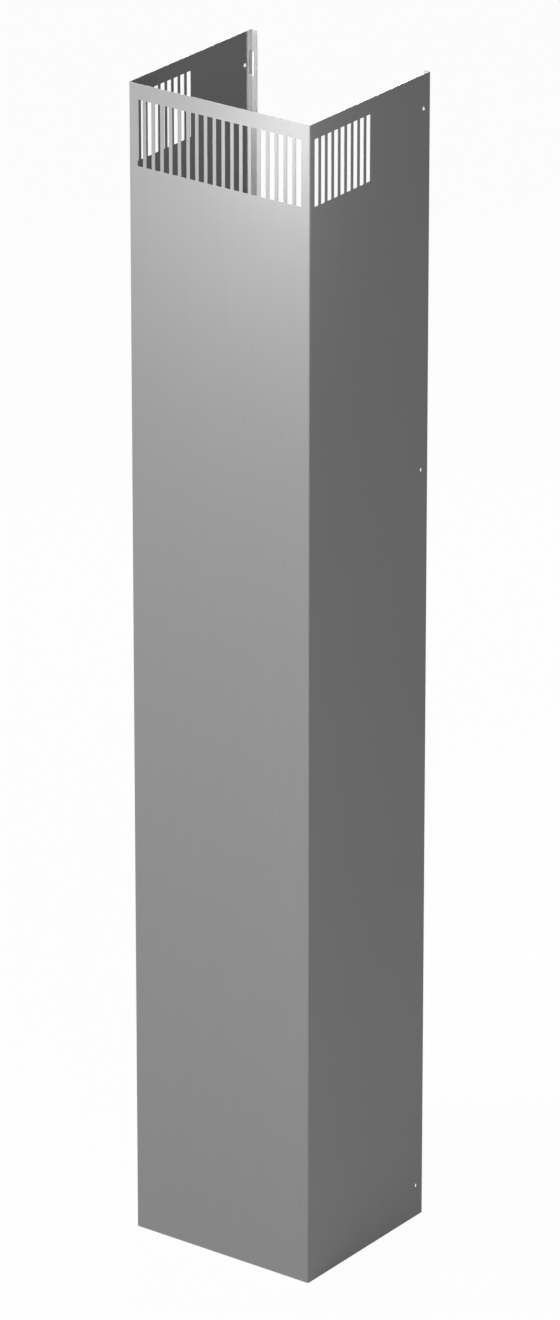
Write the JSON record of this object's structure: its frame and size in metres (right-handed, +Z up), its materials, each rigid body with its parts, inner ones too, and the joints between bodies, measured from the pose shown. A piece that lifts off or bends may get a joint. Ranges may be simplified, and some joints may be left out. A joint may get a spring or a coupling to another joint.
{
  "type": "cooker hood chimney section",
  "caption": "Tall folded stainless sheet cover for a kitchen hood duct, open at the back and both ends, with upright ventilation slots around the top and narrow rear flanges.",
  "frame": {"origin": "centre of the bounding box on the bottom edge, where the section stands", "axes": "+Z up along the section, -Y out of the front panel, +Y towards the wall, +X to the right seen from the front"},
  "size_m": [0.263, 0.243, 1.5],
  "materials": {
    "stainless_sheet": "fine satin brushed stainless steel"
  },
  "bodies": {
    "root": {"chimney_cover": "stainless_sheet"}
  },
  "joints": []
}
